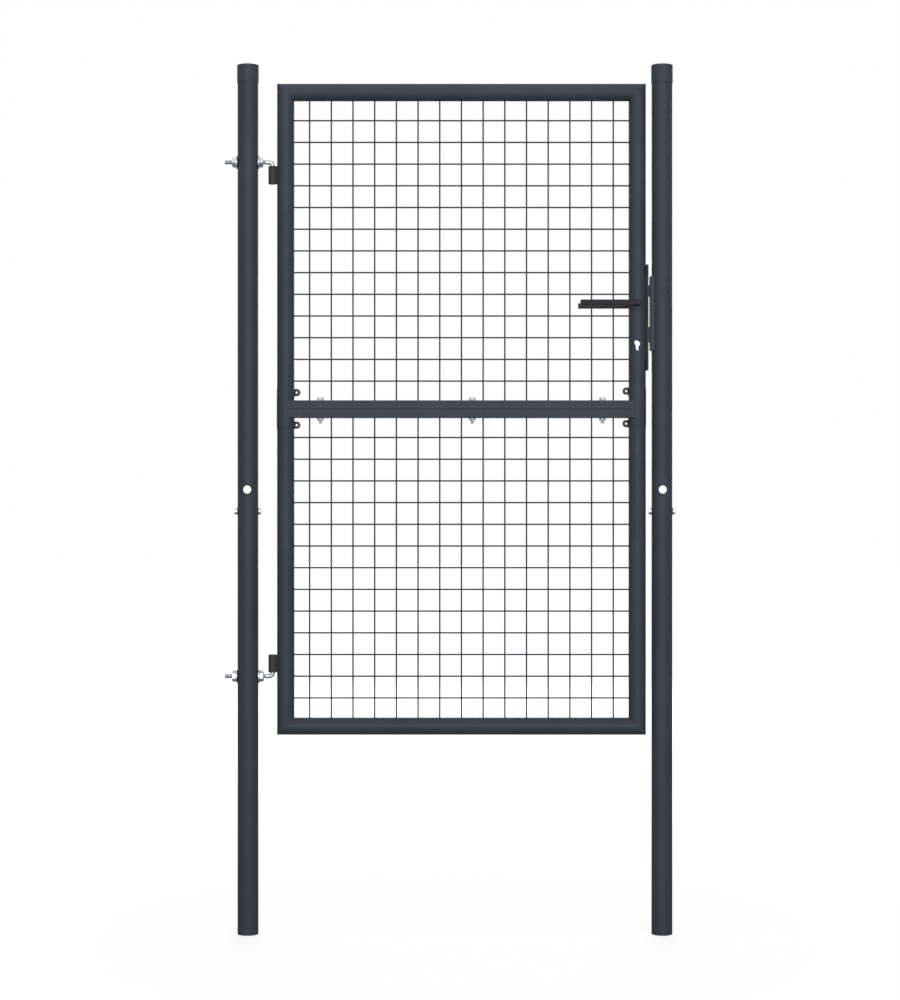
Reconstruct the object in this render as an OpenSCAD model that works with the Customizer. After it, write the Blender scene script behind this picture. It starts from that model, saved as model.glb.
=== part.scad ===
// Swing gate with two tube posts and a welded mesh leaf.
// The hinge post stands on the origin, the leaf runs along +X and +Z is up.
// The leaf is made of two halves, joined by bolted middle rails and a clamp on each stile.
// The most skilful feature is the lock side: the lock case, the bolts, the keyhole and the
// slots they need are all cut from one set of heights, so they stay in line with the strike.

/* [Posts] */
// Outer diameter of the post tubes
post_d = 48; // [44:1:54]
// Wall of the post tubes
post_wall = 2; // [1.5:0.5:3]
// Rise of a post, without its cap, above the top of the leaf
post_rise = 41; // [20:1:140]
// Length of the coupling tube inside each post
coupling_l = 200; // [160:10:260]
// Distance of the cross bolt below the joint between the post halves
cross_bolt_drop = 26; // [20:1:40]
// Distance of the access hole above the joint between the post halves
access_rise = 24; // [20:1:40]
// Diameter of the access hole in the front wall
access_front_d = 18.5; // [14:0.5:20]
// Diameter of the access hole in the rear wall
access_rear_d = 28; // [20:1:30]
// Depth of the skirt of a post cap
cap_skirt = 39; // [30:1:50]
// Thickness of a post cap
cap_wall = 1; // [0.8:0.1:1.5]

/* [Leaf] */
// Width of the leaf
leaf_w = 850; // [750:50:1050]
// Height of the leaf
leaf_h = 1500; // [1400:50:1500]
// Height of the leaf above the foot of the posts
leaf_lift = 459; // [450:1:490]
// Gap between the hinge post and the leaf
hinge_gap = 43; // [40:1:50]
// Gap between the leaf and the latch post
latch_gap = 13; // [13:0.5:15]
// Diameter of the frame tubes
frame_d = 40; // [38:1:42]
// Wall of the frame tubes
frame_wall = 1.5; // [1.2:0.1:2]
// Height of each middle rail
mid_rail_h = 20; // [18:1:24]
// Depth of each middle rail
mid_rail_deep = 38; // [34:1:38]

/* [Mesh] */
// Spacing of the mesh wires
mesh_pitch = 50; // [40:5:60]
// Distance of the first cross wires from the joint between the leaf halves
mesh_start = 65; // [50:5:70]
// Diameter of the upright wires
upright_wire_d = 3.6; // [3:0.1:4]
// Diameter of the cross wires
cross_wire_d = 3.6; // [3:0.1:4]

/* [Hinges] */
// Diameter of the bent hinge bolts
rod_d = 10; // [8:1:12]
// Radius of their bend at the centreline
rod_bend_r = 8.5; // [8.5:0.5:12]
// How far they stick out behind the post centreline
rod_tail = 53; // [48:1:60]
// Drop of the top hinge bolt below the top of the leaf
top_hinge_drop = 181; // [150:1:250]
// Rise of the bottom hinge bolt above the bottom of the leaf
bottom_hinge_rise = 135; // [110:1:250]
// Outer diameter of the hinge barrels
barrel_d = 20; // [18:1:22]
// Length of the hinge barrels
barrel_l = 41; // [35:1:60]
// Width across flats of the hinge nuts
hinge_nut_af = 22; // [19:1:24]
// Thickness of the hinge nuts
hinge_nut_h = 9; // [7:1:10]
// Diameter of the hinge washers
hinge_washer_d = 30; // [26:1:34]
// Thickness of the hinge washers
hinge_washer_t = 3; // [2:0.5:3]

/* [Clamps] */
// Thickness of the sheet of the stile clamps
clamp_t = 0.8; // [0.6:0.1:1.5]
// Height of the stile clamps
clamp_h = 94; // [92:1:110]
// Diameter of the rounded ears
ear_d = 17; // [15:1:18]
// Thickness of an ear
ear_t = 3.2; // [2:0.2:4]
// Diameter of the hole in an ear
ear_hole_d = 5; // [4:0.5:6]
// Distance of the ear holes from the middle of the clamp
ear_rise = 37.5; // [37:0.5:38]
// Height of the middle of the hinge stile clamp above the joint between the leaf halves
hinge_clamp_lift = 1; // [0:0.5:2]
// Height of the middle of the latch stile clamp above the joint between the leaf halves
latch_clamp_lift = 4.5; // [3:0.5:5]

/* [Lock] */
// Height of the lever axis above the joint between the leaf halves
lever_rise = 242.5; // [215:0.5:280]
// Distance of the keyhole below the lever axis
keyhole_drop = 90; // [85:1:92]
// Height of the forend plate
forend_h = 243; // [230:1:260]
// Thickness of the forend plate
forend_t = 5.2; // [3:0.1:6]
// Width of the forend plate
forend_w = 24; // [20:1:25]
// Reach of the levers from their axis
lever_reach = 133.5; // [110:0.5:140]
// Thickness of a lever
lever_t = 12.2; // [9:0.1:13]
// Distance from the leaf centre plane to the middle of a lever
lever_out = 48.5; // [42:0.5:55]
// Throw of the latch bolt
latch_throw = 11; // [8:0.5:12]
// Throw of the deadbolt
deadbolt_throw = 12; // [10:0.5:12]
// Height of the strike
strike_h = 170; // [165:0.5:190]
// Width of the strike
strike_w = 30; // [28:1:34]
// Gap between the forend plate and the strike
strike_gap = 3.2; // [3:0.1:4.5]

/* [Hidden] */
$fn = 64;

// colours
anthracite = "#3d444c";
zinc = "#c4c8cc";
black_steel = "#2c2c30";
bolt_steel = "#3a3c40";

// clearances
pin_clear = 0.05;       // hinge pin and lever neck in their bores, on the radius
bolt_clear = 0.3;       // threaded shanks in their holes, on the radius
slide_clear = 0.3;      // lock bolts in their slots, a side
nest_clear = 0.1;       // coupling tubes and caps on the posts, on the radius
lip = 1;                // how far cutters run past a face

// posts
post_r = post_d / 2;
leaf_top = leaf_lift + leaf_h;
post_h = leaf_top + post_rise;
joint_z = post_h / 2;
cross_bolt_z = joint_z - cross_bolt_drop;
access_z = joint_z + access_rise;
cross_bolt_d = 8;
coupling_wall = 1.5;
cap_bead_drop = 8;
cap_bead = 0.4;

// leaf
frame_r = frame_d / 2;
leaf_x0 = post_r + hinge_gap;
leaf_x1 = leaf_x0 + leaf_w;
leaf_mid_x = (leaf_x0 + leaf_x1) / 2;
leaf_mid_z = (leaf_lift + leaf_top) / 2;
hinge_stile_x = leaf_x0 + frame_r;
latch_stile_x = leaf_x1 - frame_r;
latch_post_x = leaf_x1 + latch_gap + post_r;
mid_rail_wall = 1.5;
mid_rail_edge_r = 1.2;
rail_bolt_d = 8;
ear_sink = 3.1;         // how far the round of an ear runs into the outline of the stile
wire_fuse = 0.5;        // how far a wire is pressed past the leaf centre plane when welded
rail_bolt_xs = [leaf_x0 + 100, leaf_x0 + leaf_w / 2 + 25, leaf_x1 - 100];

// hinges
rod_r = rod_d / 2;
hinge_x = leaf_x0 - barrel_d / 2;
top_rod_z = leaf_top - top_hinge_drop;
bottom_rod_z = leaf_lift + bottom_hinge_rise;
barrel_gap = 0.5;       // between a barrel and the bend of its bolt
pin_short = 2;          // a pin ends this far inside its barrel

// lock
lever_z = leaf_mid_z + lever_rise;
keyhole_z = lever_z - keyhole_drop;
keyhole_d = 15.5;
keyhole_slot_w = 9.5;
keyhole_h = 25.5;
forend_x0 = leaf_x1;
forend_x1 = leaf_x1 + forend_t;
forend_top = lever_z + 90.5;
forend_mid_z = forend_top - forend_h / 2;
case_t = 16;
case_wall = 1.8;
case_h = 195;
case_back_x = latch_stile_x - 15;
latch_z = lever_z + 30;
latch_h = 25;
latch_w = 11;
latch_tail_x = latch_stile_x - 2;
deadbolt_z = lever_z - 70.5;
deadbolt_h = 34;
deadbolt_w = 11;
deadbolt_tail_x = latch_stile_x + keyhole_d / 2 + deadbolt_throw;
spindle_w = 7;
spindle_hole_d = spindle_w * sqrt(2) + 2 * slide_clear;
neck_inner_y = case_t / 2 + slide_clear;
lever_edge_r = 2;
strike_x0 = forend_x1 + strike_gap;
strike_top = lever_z + 63;
strike_mid_z = strike_top - strike_h / 2;
strike_t = 2.5;
strike_depth = post_r;
strike_bend_r = 3;      // outer radius of the channel's bends
pocket_clear = 2;       // around the thrown bolts in the strike and the post

// Cylinder along X from x0 to x1
module rod_x(r, x0, x1) {
    translate([x0, 0, 0]) rotate([0, 90, 0]) cylinder(r = r, h = x1 - x0);
}

// Cylinder along Y from y0 to y1
module rod_y(r, y0, y1) {
    translate([0, y1, 0]) rotate([90, 0, 0]) cylinder(r = r, h = y1 - y0);
}

// Upright tube
module tube(r, wall, h) {
    difference() {
        cylinder(r = r, h = h);
        translate([0, 0, -lip]) cylinder(r = r - wall, h = h + 2 * lip);
    }
}

// Box centred on the leaf plane, from x0 to x1, w deep and h high about z = 0
module slab(x0, x1, w, h) {
    translate([x0, -w / 2, -h / 2]) cube([x1 - x0, w, h]);
}

// Hexagonal prism along X, with bore, with flats af apart
module hex_x(af, x0, x1, bore_r) {
    translate([x0, 0, 0]) rotate([0, 90, 0]) difference() {
        cylinder(r = af / sqrt(3), h = x1 - x0, $fn = 6);
        translate([0, 0, -lip]) cylinder(r = bore_r, h = x1 - x0 + 2 * lip);
    }
}

// ---- posts ----

// The two holes on each side of the joint between the post halves
module joint_holes() {
    translate([0, 0, cross_bolt_z]) rod_x(cross_bolt_d / 2 + bolt_clear, -post_d, post_d);
    translate([0, 0, access_z]) rod_y(access_front_d / 2, -post_d, 0);
    translate([0, 0, access_z]) rod_y(access_rear_d / 2, 0, post_d);
}

module post_half(z0, x = 0) {
    difference() {
        translate([x, 0, z0]) tube(post_r, post_wall, post_h / 2);
        translate([x, 0, 0]) joint_holes();
    }
}

module coupling() {
    difference() {
        translate([0, 0, joint_z - coupling_l / 2])
            tube(post_r - post_wall - nest_clear, coupling_wall, coupling_l);
        joint_holes();
    }
}

module hinge_bolt_holes() {
    for (z = [top_rod_z, bottom_rod_z])
        translate([0, 0, z]) rod_x(rod_r + bolt_clear, -post_d, post_d);
}

// Room for a thrown lock bolt, w deep and h high
module bolt_pocket(z, w, h) {
    translate([0, 0, z]) slab(strike_x0 - lip, latch_post_x, w + 2 * pocket_clear, h + 2 * pocket_clear);
}

module bolt_pockets() {
    bolt_pocket(latch_z, latch_w, latch_h);
    bolt_pocket(deadbolt_z, deadbolt_w, deadbolt_h);
}

module hinge_post_lower() {
    color(anthracite) difference() {
        post_half(0);
        hinge_bolt_holes();
    }
}

module hinge_post_upper() {
    color(anthracite) difference() {
        post_half(joint_z);
        hinge_bolt_holes();
    }
}

module hinge_post_coupling() {
    color(anthracite) coupling();
}

module latch_post_lower() {
    color(anthracite) post_half(0, latch_post_x);
}

module latch_post_upper() {
    color(anthracite) difference() {
        post_half(joint_z, latch_post_x);
        bolt_pockets();
    }
}

module latch_post_coupling() {
    color(anthracite) translate([latch_post_x, 0, 0]) coupling();
}

// Cup over the end of a post, with a fine bead below its flat top
module post_cap() {
    inner_r = post_r + nest_clear;
    outer_r = inner_r + cap_wall;
    edge_r = 1;
    top = post_h + 2 * cap_wall;
    color(anthracite) rotate_extrude() polygon(concat(
        [[0, post_h], [inner_r, post_h], [inner_r, post_h - cap_skirt], [outer_r, post_h - cap_skirt]],
        [[outer_r, top - cap_bead_drop - cap_bead], [outer_r - cap_bead, top - cap_bead_drop]],
        [[outer_r, top - cap_bead_drop + cap_bead]],
        [for (a = [0 : 15 : 90]) [outer_r - edge_r + edge_r * cos(a), top - edge_r + edge_r * sin(a)]],
        [[0, top]]
    ));
}

module hinge_post_cap() {
    post_cap();
}

module latch_post_cap() {
    translate([latch_post_x, 0, 0]) post_cap();
}

// Hexagon bolt across a post, with its washers and nut
module post_bolt() {
    shank_r = cross_bolt_d / 2;
    washer_t = 1.5;
    flats = 13;
    head_t = 5.5;
    seat = post_r + washer_t;
    rod_x(shank_r, -seat - lip, seat + head_t);
    for (x = [-seat, post_r]) difference() {
        rod_x(8, x, x + washer_t);
        rod_x(shank_r, x - lip, x + washer_t + lip);
    }
    hex_x(flats, -seat - head_t, -seat, 0.5);
    hex_x(flats, seat, seat + head_t - lip, shank_r);
}

module post_bolts() {
    color(zinc) for (x = [0, latch_post_x]) translate([x, 0, cross_bolt_z]) post_bolt();
}

// Channel on the latch post, cut to sit on the round tube
module strike() {
    r = strike_bend_r;
    half = strike_w / 2;
    color(anthracite) difference() {
        translate([0, 0, strike_mid_z - strike_h / 2]) linear_extrude(strike_h) union() {
            translate([strike_x0, r - half]) square([strike_depth, strike_w - 2 * r]);
            translate([strike_x0 + r, -half]) square([strike_depth - r, strike_w]);
            for (y = [r - half, half - r]) translate([strike_x0 + r, y]) circle(r = r);
        }
        translate([0, 0, strike_mid_z])
            slab(strike_x0 + strike_t, latch_post_x, strike_w - 2 * strike_t, strike_h + 2 * lip);
        translate([latch_post_x, 0, 0]) cylinder(r = post_r, h = post_h);
        bolt_pockets();
    }
}

// ---- hinges ----

// Bent bolt through the hinge post, pin upwards, about z = 0
module hinge_bolt() {
    pin_l = barrel_gap + barrel_l - pin_short;
    rod_x(rod_r, -rod_tail, hinge_x - rod_bend_r);
    translate([hinge_x - rod_bend_r, 0, rod_bend_r]) rotate([90, 0, 0]) rotate([0, 0, -90])
        rotate_extrude(angle = 90) translate([rod_bend_r, 0]) circle(r = rod_r);
    translate([hinge_x, 0, rod_bend_r]) cylinder(r = rod_r, h = pin_l);
}

module bottom_hinge_bolt() {
    color(zinc) translate([0, 0, bottom_rod_z]) hinge_bolt();
}

module top_hinge_bolt() {
    color(zinc) translate([0, 0, top_rod_z]) mirror([0, 0, 1]) hinge_bolt();
}

module hinge_washers() {
    color(zinc) for (z = [top_rod_z, bottom_rod_z], x = [-post_r - hinge_washer_t, post_r])
        translate([0, 0, z]) difference() {
            rod_x(hinge_washer_d / 2, x, x + hinge_washer_t);
            rod_x(rod_r + bolt_clear, x - lip, x + hinge_washer_t + lip);
        }
}

// Nuts on both sides of the post, each pair left at its own turn
module hinge_nuts() {
    seat = post_r + hinge_washer_t;
    color(zinc) for (pair = [[top_rod_z, -17], [bottom_rod_z, -7]], x = [-seat - hinge_nut_h, seat])
        translate([0, 0, pair[0]]) rotate([pair[1], 0, 0]) hex_x(hinge_nut_af, x, x + hinge_nut_h, rod_r);
}

// Barrel welded to the hinge stile
module barrel(z) {
    translate([hinge_x, 0, z]) tube(barrel_d / 2, barrel_d / 2 - rod_r - pin_clear, barrel_l);
}

module top_barrel() {
    color(black_steel) barrel(top_rod_z - rod_bend_r - barrel_gap - barrel_l);
}

module bottom_barrel() {
    color(black_steel) barrel(bottom_rod_z + rod_bend_r + barrel_gap);
}

// ---- leaf frame ----

// Prism at the top left corner of the leaf, on one side of the mitre
module mitre(below) {
    s = frame_d + 4 * lip;
    third = below ? [-lip, -s] : [s, lip];
    translate([leaf_x0, frame_d, leaf_top]) rotate([90, 0, 0])
        linear_extrude(2 * frame_d) polygon([[-lip, lip], [s, -s], third]);
}

module mirror_x(on = true) {
    translate([on ? 2 * leaf_mid_x : 0, 0, 0]) mirror([on ? 1 : 0, 0, 0]) children();
}

module mirror_z(on = true) {
    translate([0, 0, on ? 2 * leaf_mid_z : 0]) mirror([0, 0, on ? 1 : 0]) children();
}

// Upper half of the hinge stile
module stile() {
    difference() {
        translate([hinge_stile_x, 0, leaf_mid_z]) tube(frame_r, frame_wall, leaf_h / 2);
        mitre(false);
    }
}

module rail() {
    difference() {
        translate([leaf_x0, 0, leaf_top - frame_r]) rotate([0, 90, 0]) tube(frame_r, frame_wall, leaf_w);
        mitre(true);
        mirror_x() mitre(true);
    }
}

module hinge_stile_upper() {
    color(anthracite) stile();
}

module hinge_stile_lower() {
    color(anthracite) mirror_z() stile();
}

module latch_stile_upper() {
    color(anthracite) difference() {
        mirror_x() stile();
        translate([0, 0, forend_mid_z])
            slab(latch_stile_x, leaf_x1 + lip, case_t + 2 * slide_clear, case_h + 2 * slide_clear);
        translate([latch_stile_x, 0, lever_z]) rod_y(lever_t / 2 + pin_clear, -frame_d, frame_d);
        keyhole();
    }
}

module latch_stile_lower() {
    color(anthracite) mirror_x() mirror_z() stile();
}

module top_rail() {
    color(anthracite) rail();
}

module bottom_rail() {
    color(anthracite) mirror_z() rail();
}

// Rectangular tube with rounded edges from stile to stile, its ends cut to the round stiles
module middle_rail(z) {
    r = mid_rail_edge_r;
    half_w = mid_rail_deep / 2 - r;
    half_h = mid_rail_h / 2 - r;
    translate([0, 0, z]) difference() {
        union() {
            slab(hinge_stile_x, latch_stile_x, 2 * half_w, mid_rail_h);
            slab(hinge_stile_x, latch_stile_x, mid_rail_deep, 2 * half_h);
            for (y = [-half_w, half_w], dz = [-half_h, half_h])
                translate([0, y, dz]) rod_x(r, hinge_stile_x, latch_stile_x);
        }
        slab(leaf_x0, leaf_x1, mid_rail_deep - 2 * mid_rail_wall, mid_rail_h - 2 * mid_rail_wall);
        for (x = [hinge_stile_x, latch_stile_x])
            translate([x, 0, -mid_rail_h]) cylinder(r = frame_r, h = 2 * mid_rail_h);
        for (x = rail_bolt_xs)
            translate([x, 0, -mid_rail_h]) cylinder(r = rail_bolt_d / 2 + bolt_clear, h = 2 * mid_rail_h);
    }
}

module upper_middle_rail() {
    color(anthracite) middle_rail(leaf_mid_z + mid_rail_h / 2);
}

module lower_middle_rail() {
    color(anthracite) middle_rail(leaf_mid_z - mid_rail_h / 2);
}

// Bolts that hold the two middle rails together
module middle_rail_bolts() {
    head_t = 5.3;
    washer_t = 1.6;
    nut_t = 6;
    tail = 7;
    hex_r = 13 / sqrt(3);
    color(zinc) for (x = rail_bolt_xs) translate([x, 0, leaf_mid_z]) {
        translate([0, 0, -mid_rail_h - nut_t - tail])
            cylinder(d = rail_bolt_d, h = 2 * mid_rail_h + nut_t + tail + head_t);
        translate([0, 0, mid_rail_h]) difference() {
            cylinder(r = rail_bolt_d, h = washer_t);
            translate([0, 0, -lip]) cylinder(d = rail_bolt_d, h = washer_t + 2 * lip);
        }
        translate([0, 0, mid_rail_h + washer_t]) cylinder(r = hex_r, h = head_t, $fn = 6);
        translate([0, 0, -mid_rail_h - nut_t]) difference() {
            cylinder(r = hex_r, h = nut_t, $fn = 6);
            translate([0, 0, -lip]) cylinder(d = rail_bolt_d, h = nut_t + 2 * lip);
        }
    }
}

// Welded wire mesh of the upper half, cross wires in front, fused where they cross
module mesh() {
    uprights = floor((leaf_w / 2 - frame_d - upright_wire_d) / mesh_pitch);
    cross_wires = floor((leaf_h / 2 - frame_d - mesh_start - cross_wire_d) / mesh_pitch);
    rail_z = leaf_top - frame_r;
    upright_y = upright_wire_d / 2 - wire_fuse;
    cross_y = wire_fuse - cross_wire_d / 2;
    difference() {
        union() {
            for (i = [-uprights : uprights])
                translate([leaf_mid_x + i * mesh_pitch, upright_y, leaf_mid_z + mid_rail_h])
                    rotate([0, 0, 22.5])
                    cylinder(d = upright_wire_d, h = rail_z - leaf_mid_z - mid_rail_h, $fn = 8);
            for (i = [0 : cross_wires])
                translate([hinge_stile_x, cross_y, leaf_mid_z + mesh_start + i * mesh_pitch])
                    rotate([0, 90, 0]) rotate([0, 0, 22.5])
                    cylinder(d = cross_wire_d, h = latch_stile_x - hinge_stile_x, $fn = 8);
        }
        for (x = [hinge_stile_x, latch_stile_x])
            translate([x, 0, leaf_mid_z]) cylinder(r = frame_r, h = leaf_h / 2);
        translate([0, 0, rail_z]) rod_x(frame_r, leaf_x0, leaf_x1);
    }
}

module upper_mesh() {
    color(anthracite) mesh();
}

module lower_mesh() {
    color(anthracite) mirror_z() mesh();
}

// Sheet clamp round the joint of the hinge stile, open at the middle rails, with two ears
module clamp(lift) {
    r = frame_r + clamp_t;
    taper = 4;
    thin = frame_r + clamp_t / 3;
    ear_x = hinge_stile_x + frame_r + ear_d / 2 - ear_sink;
    window_x = hinge_stile_x + frame_r / 4;
    translate([0, 0, leaf_mid_z + lift]) difference() {
        union() {
            translate([hinge_stile_x, 0, taper - clamp_h / 2]) cylinder(r = r, h = clamp_h - 2 * taper);
            translate([hinge_stile_x, 0, -clamp_h / 2]) cylinder(r1 = thin, r2 = r, h = taper);
            translate([hinge_stile_x, 0, clamp_h / 2 - taper]) cylinder(r1 = r, r2 = thin, h = taper);
            for (z = [-ear_rise, ear_rise]) {
                translate([ear_x, 0, z]) rod_y(ear_d / 2, -ear_t / 2, ear_t / 2);
                translate([0, 0, z]) slab(hinge_stile_x, ear_x, ear_t, ear_d);
            }
        }
        translate([hinge_stile_x, 0, -clamp_h]) cylinder(r = frame_r, h = 2 * clamp_h);
        slab(window_x, hinge_stile_x + frame_d, frame_d + 4 * clamp_t, 2 * mid_rail_h + 12);
        for (z = [-ear_rise, ear_rise]) translate([ear_x, 0, z]) rod_y(ear_hole_d / 2, -ear_t, ear_t);
    }
}

module hinge_stile_clamp() {
    color(anthracite) clamp(hinge_clamp_lift);
}

module latch_stile_clamp() {
    color(anthracite) mirror_x() clamp(latch_clamp_lift);
}

// ---- lock ----

// Keyhole through the stile and the case: a circle with a slot below it
module keyhole() {
    slot_r = keyhole_slot_w / 2;
    slot_drop = keyhole_h - keyhole_d / 2 - slot_r;
    translate([latch_stile_x, 0, keyhole_z]) {
        rod_y(keyhole_d / 2, -frame_d, frame_d);
        translate([0, 0, -slot_drop]) rod_y(slot_r, -frame_d, frame_d);
        translate([0, 0, -slot_drop / 2]) slab(-slot_r, slot_r, 2 * frame_d, slot_drop);
    }
}

module lock_case() {
    inner_w = case_t - 2 * case_wall;
    color(black_steel) difference() {
        translate([0, 0, forend_mid_z]) slab(case_back_x, forend_x0, case_t, case_h);
        translate([0, 0, forend_mid_z])
            slab(case_back_x + case_wall, forend_x0 + lip, inner_w, case_h - 2 * case_wall);
        translate([latch_stile_x, 0, lever_z]) rod_y(spindle_hole_d / 2, -frame_d, frame_d);
        keyhole();
    }
}

// Plate on the edge of the leaf, with a slot for each bolt
module forend() {
    gap = 2 * slide_clear;
    color(anthracite) difference() {
        translate([0, 0, forend_mid_z]) slab(forend_x0, forend_x1, forend_w, forend_h);
        translate([0, 0, latch_z]) slab(forend_x0 - lip, forend_x1 + lip, latch_w + gap, latch_h + gap);
        translate([0, 0, deadbolt_z])
            slab(forend_x0 - lip, forend_x1 + lip, deadbolt_w + gap, deadbolt_h + gap);
    }
}

// Spring bolt with one slanted side
module latch_bolt() {
    nose_x = forend_x1 + latch_throw;
    half = latch_w / 2;
    color(bolt_steel) translate([0, 0, latch_z - latch_h / 2]) linear_extrude(latch_h) polygon([
        [latch_tail_x, -half], [nose_x, -half], [nose_x, -half + 2],
        [forend_x1 + 1, half], [latch_tail_x, half]
    ]);
}

module deadbolt() {
    color(bolt_steel) translate([0, 0, deadbolt_z])
        slab(deadbolt_tail_x, forend_x1 + deadbolt_throw, deadbolt_w, deadbolt_h);
}

// Square bar with rounded edges, from the lever axis to its tip
module lever_bar() {
    inset = lever_t / 2 - lever_edge_r;
    rotate([0, -90, 0]) linear_extrude(lever_reach) union() {
        square([lever_t, 2 * inset], center = true);
        square([2 * inset, lever_t], center = true);
        for (u = [-inset, inset], v = [-inset, inset]) translate([u, v]) circle(r = lever_edge_r);
    }
}

// Lever on the front, with its neck
module lever() {
    difference() {
        translate([latch_stile_x, 0, lever_z]) {
            rod_y(lever_t / 2, -lever_out - lever_t / 2, -neck_inner_y);
            translate([0, -lever_out, 0]) lever_bar();
        }
        spindle_bar();
    }
}

// Square bar that joins the levers
module spindle_bar() {
    reach = lever_out - lever_t / 2 - 8;
    translate([latch_stile_x, 0, lever_z]) slab(-spindle_w / 2, spindle_w / 2, 2 * reach, spindle_w);
}

module front_lever() {
    color(black_steel) lever();
}

module rear_lever() {
    color(black_steel) mirror([0, 1, 0]) lever();
}

module spindle() {
    color(zinc) spindle_bar();
}

hinge_post_lower();
hinge_post_upper();
hinge_post_coupling();
hinge_post_cap();
latch_post_lower();
latch_post_upper();
latch_post_coupling();
latch_post_cap();
post_bolts();
strike();
top_hinge_bolt();
bottom_hinge_bolt();
hinge_nuts();
hinge_washers();
hinge_stile_upper();
hinge_stile_lower();
latch_stile_upper();
latch_stile_lower();
top_rail();
bottom_rail();
upper_middle_rail();
lower_middle_rail();
middle_rail_bolts();
upper_mesh();
lower_mesh();
top_barrel();
bottom_barrel();
hinge_stile_clamp();
latch_stile_clamp();
lock_case();
forend();
front_lever();
rear_lever();
spindle();
latch_bolt();
deadbolt();
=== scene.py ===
"""Swing gate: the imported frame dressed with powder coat, zinc, threads, welds and screws."""

import math

import bmesh
import bpy
from mathutils import Matrix, Vector


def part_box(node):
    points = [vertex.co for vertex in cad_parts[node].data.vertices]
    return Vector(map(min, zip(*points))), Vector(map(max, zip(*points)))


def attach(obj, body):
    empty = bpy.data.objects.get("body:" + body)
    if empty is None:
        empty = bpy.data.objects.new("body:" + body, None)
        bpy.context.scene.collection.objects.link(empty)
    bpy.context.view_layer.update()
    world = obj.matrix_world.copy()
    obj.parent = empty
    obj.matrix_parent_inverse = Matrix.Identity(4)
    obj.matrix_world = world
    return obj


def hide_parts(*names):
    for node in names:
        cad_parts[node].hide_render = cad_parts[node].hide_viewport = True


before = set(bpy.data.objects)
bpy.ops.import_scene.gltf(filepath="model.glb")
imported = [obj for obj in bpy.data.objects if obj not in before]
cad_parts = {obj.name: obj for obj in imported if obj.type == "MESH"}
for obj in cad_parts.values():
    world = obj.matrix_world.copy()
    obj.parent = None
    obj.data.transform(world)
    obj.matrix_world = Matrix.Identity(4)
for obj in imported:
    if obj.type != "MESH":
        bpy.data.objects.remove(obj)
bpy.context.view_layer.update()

scene = bpy.context.scene
MM = 0.001


# ---- sizes ----------------------------------------------------------------------------------


def low(node):
    return Vector(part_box(node)[0])


def high(node):
    return Vector(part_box(node)[1])


def middle(node):
    return (low(node) + high(node)) / 2


def half_width(node):
    return (high(node).x - low(node).x) / 2


def half_height(node):
    return (high(node).z - low(node).z) / 2


post_r = half_width("hinge_post_lower")
post_wall = 2 * MM
coupling_wall = 1.5 * MM
post_joint_z = high("hinge_post_lower").z
post_top_z = high("hinge_post_upper").z
post_xs = {"hinge": 0.0, "latch": middle("latch_post_lower").x}
cross_bolt_z = middle("post_bolts").z
access_z = post_joint_z + 24 * MM
access_front_r = 9.25 * MM
access_rear_r = 14 * MM
access_reach = 40 * MM
cross_hole_r = 4.3 * MM
rod_hole_r = 5.3 * MM

tube_r = half_height("top_rail")
tube_wall = 1.5 * MM
leaf_x0 = low("top_rail").x
leaf_x1 = high("top_rail").x
leaf_z0 = low("bottom_rail").z
leaf_z1 = high("top_rail").z
leaf_mid_x = (leaf_x0 + leaf_x1) / 2
leaf_mid_z = (leaf_z0 + leaf_z1) / 2
stile_xs = {"hinge": leaf_x0 + tube_r, "latch": leaf_x1 - tube_r}
mid_rail_h = high("upper_middle_rail").z - low("upper_middle_rail").z
mid_rail_deep = high("upper_middle_rail").y - low("upper_middle_rail").y

mesh_pitch = 50 * MM
mesh_start = 65 * MM
upright_count = 15
cross_wire_count = 13
upright_wire_r = 1.8 * MM
cross_wire_r = 1.8 * MM

pin_r = 5 * MM
bend_r = 8.5 * MM
hinge_x = middle("top_barrel").x
rod_zs = {
    "top": high("top_hinge_bolt").z - pin_r,
    "bottom": low("bottom_hinge_bolt").z + pin_r,
}
hinge_pitch = 1.5 * MM
nut_flats = 22 * MM
nut_t = 9 * MM
washer_r = 15 * MM
washer_t = 3 * MM

m8_r = 4 * MM
m8_pitch = 1.25 * MM
m8_flats = 13 * MM
m8_washer_r = 8 * MM

lever_z = middle("front_lever").z
lever_x = middle("spindle").x
keyhole_z = lever_z - 90 * MM
keyhole_r = 7.75 * MM
keyhole_slot_r = 4.75 * MM
keyhole_h = 25.5 * MM
cut_reach = 60 * MM


# ---- camera, floor and light ----------------------------------------------------------------


def set_camera():
    """Level view from the front, in line with the middle of the whole gate."""
    distance = 5.1
    frame_h = 2.305
    view_x, eye_h = 0.4656, 1.0
    data = bpy.data.cameras.new("view")
    data.sensor_width = 36
    data.lens = data.sensor_width * distance / frame_h
    camera = bpy.data.objects.new("view", data)
    camera.location = (view_x, -distance, eye_h)
    camera.rotation_euler = (math.radians(90), 0, 0)
    scene.collection.objects.link(camera)
    scene.camera = camera


def new_material(name):
    material = bpy.data.materials.new(name)
    material.use_nodes = True
    tree = material.node_tree
    return material, tree.nodes, tree.links, tree.nodes["Principled BSDF"]


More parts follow.
